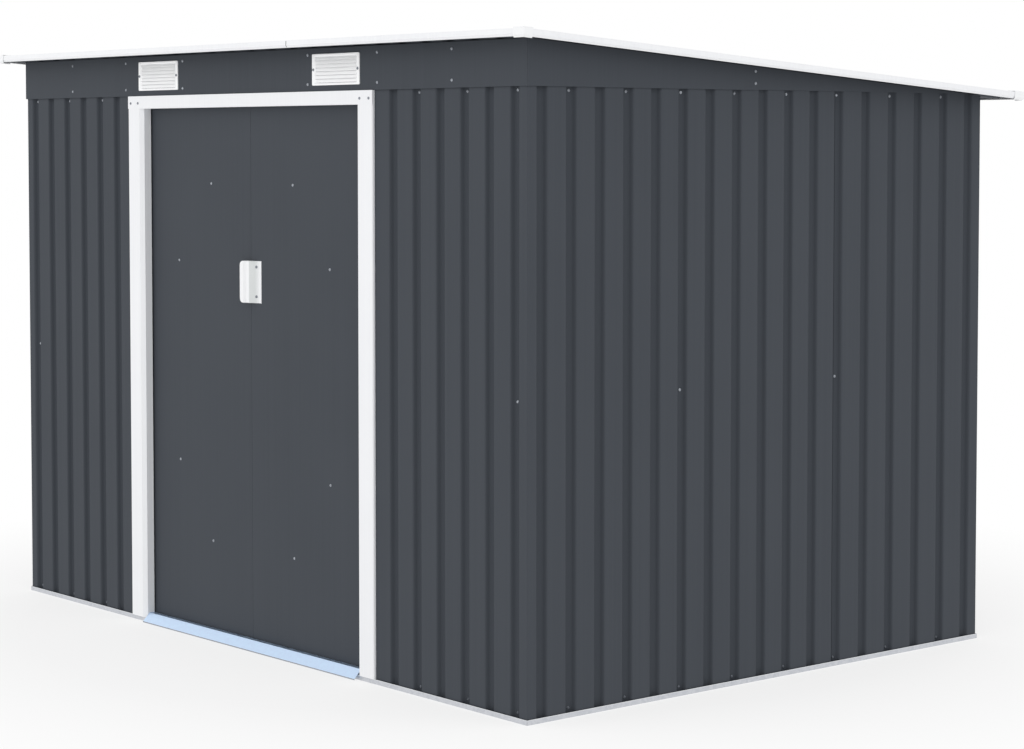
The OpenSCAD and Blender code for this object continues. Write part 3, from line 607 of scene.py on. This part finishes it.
# each leaf's stiffeners, by distance from the seam and height, and the plate of the handle
seam_x = -0.012
leaf_screws = ((0.219, 0.301), (0.219, 1.417), (0.405, 0.540), (0.405, 1.173))
handle_screw_in = 0.032
handle_middle_z = 1.122
handle_screw_rise = 0.045
for side, body in zip(sides, ("left_door", "right_door")):
    set_screws(body + "_screws", body, bright_zinc, to_back,
               [(seam_x + side * x, -far, z) for x, z in leaf_screws])
set_screws("handle_screws", "right_door", dull_zinc, to_back,
           [(seam_x + handle_screw_in, -far, handle_middle_z + s * handle_screw_rise) for s in sides])

# the ribs of the roof sheets, over the front wall, the two beams and the back wall
purlin_low, purlin_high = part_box("roof_purlins")
purlin_half = 0.0186
front_rail_in = 0.0235
back_rail_in = 0.0225
roof_lines = (front_y + front_rail_in, purlin_low.y + purlin_half, purlin_high.y - purlin_half,
              back_y - back_rail_in)
roof_ribs = [(n - groove_count / 2) * groove_pitch for n in (0, 2, 5, 7, 10, 12, 15, 17, 20, 22, 25)]
set_screws("roof_screws", "shed", bright_zinc, down, [(x, y, far) for x in roof_ribs for y in roof_lines])

# Studio
# A pale floor that takes the shed's shadow and fades to the white of the backdrop, and soft light from the
# front, from the right and from all round, as in a product studio.


def studio_floor():
    """Pale paper on the studio's floor: matt, white to the eye beyond the shadow, and left to the daylight
    that comes through the doorway where it lies inside the walls."""
    made, tree, place = start_finish("studio_floor")
    shadow_reach = 1.5
    white_reach = 2.8
    shadow_white = 0.7
    wall_share = 0.98
    indoor_white = 0.15
    seen = add(tree, "ShaderNodeLightPath")
    mirrored = add(tree, "ShaderNodeMath", {
        0: seen.outputs["Is Glossy Ray"], 1: seen.outputs["Is Transmission Ray"]}, operation="MAXIMUM")
    away = add(tree, "ShaderNodeVectorMath", {0: place}, operation="LENGTH")
    fade = add(tree, "ShaderNodeMapRange", {
        "Value": away.outputs["Value"], "From Min": shadow_reach, "From Max": white_reach,
        "To Min": shadow_white, "To Max": 1})
    plan = add(tree, "ShaderNodeMapping", {
        "Vector": place, "Location": [0, -walls_middle_y / walls_half_y, 0],
        "Scale": [1 / side_x, 1 / walls_half_y, 0]})
    reach = add(tree, "ShaderNodeVectorMath", {0: plan.outputs["Vector"]}, operation="ABSOLUTE")
    spans = add(tree, "ShaderNodeSeparateXYZ", {"Vector": reach.outputs["Vector"]})
    span = add(tree, "ShaderNodeMath", {0: spans.outputs["X"], 1: spans.outputs["Y"]}, operation="MAXIMUM")
    indoors = add(tree, "ShaderNodeMapRange", {
        "Value": span.outputs["Value"], "From Min": wall_share, "From Max": 1,
        "To Min": indoor_white, "To Max": 1})
    open_air = add(tree, "ShaderNodeMath", {0: fade.outputs["Result"], 1: indoors.outputs["Result"]},
                   operation="MULTIPLY")
    part = add(tree, "ShaderNodeMath", {0: mirrored.outputs["Value"], 1: open_air.outputs["Value"]},
               operation="MAXIMUM")
    paper = add(tree, "ShaderNodeBsdfDiffuse", {"Color": linear("#f6f6f6")})
    white = add(tree, "ShaderNodeEmission", {"Color": linear("#ffffff"), "Strength": 1})
    mixed = add(tree, "ShaderNodeMixShader", {
        0: part.outputs["Value"], 1: paper.outputs["BSDF"], 2: white.outputs["Emission"]})
    add(tree, "ShaderNodeOutputMaterial", {"Surface": mixed.outputs["Shader"]})
    return made


floor_r = 40
floor_sides = 96
floor_drop = 0.0006
mesh = bmesh.new()
bmesh.ops.create_circle(mesh, cap_ends=True, segments=floor_sides, radius=floor_r)
floor_mesh = bpy.data.meshes.new("floor")
mesh.to_mesh(floor_mesh)
mesh.free()
floor_mesh.materials.append(studio_floor())
floor = bpy.data.objects.new("floor", floor_mesh)
bpy.context.collection.objects.link(floor)
floor.location.z = -floor_drop

# the eye, metal and gloss see the white backdrop, and other surfaces take a lower, even light from it
world = bpy.data.worlds.new("studio")
world.use_nodes = True
tree = world.node_tree
tree.nodes.clear()
seen = add(tree, "ShaderNodeLightPath")
either = add(tree, "ShaderNodeMath", {0: seen.outputs["Is Camera Ray"], 1: seen.outputs["Is Glossy Ray"]},
             operation="MAXIMUM")
any_of = add(tree, "ShaderNodeMath", {0: either.outputs["Value"], 1: seen.outputs["Is Transmission Ray"]},
             operation="MAXIMUM")
fill = add(tree, "ShaderNodeBackground", {"Color": linear("#ffffff"), "Strength": 0.77})
backdrop = add(tree, "ShaderNodeBackground", {"Color": linear("#ffffff"), "Strength": 1})
mixed = add(tree, "ShaderNodeMixShader", {
    0: any_of.outputs["Value"], 1: fill.outputs["Background"], 2: backdrop.outputs["Background"]})
add(tree, "ShaderNodeOutputWorld", {"Surface": mixed.outputs["Shader"]})
bpy.context.scene.world = world

softbox_spread = 100
for name, source, strength in (("front_softbox", (-0.25, -0.85, 0.3), 0.74),
                               ("right_softbox", (0.82, 0.1, 0.5), 0.56)):
    lamp = bpy.data.lights.new(name, "SUN")
    lamp.energy = strength
    lamp.angle = math.radians(softbox_spread)
    stand = bpy.data.objects.new(name, lamp)
    stand.rotation_euler = Vector(source).to_track_quat("Z", "Y").to_euler()
    bpy.context.collection.objects.link(stand)
bpy.context.scene.view_settings.view_transform = "Standard"

# Camera
# A long lens at eye height, right of the front corner and looking down a little. The shift brings the foot
# of the shed into the frame.
look_down = 2.943
heading = 49.982
camera = bpy.data.cameras.new("camera")
camera.lens = 88.196
camera.sensor_width = 36
camera.shift_y = -0.10
viewer = bpy.data.objects.new("camera", camera)
viewer.location = (6.3332, -5.2058, 1.5420)
viewer.rotation_euler = (math.radians(90 - look_down), 0, math.radians(heading))
bpy.context.collection.objects.link(viewer)
bpy.context.scene.camera = viewer
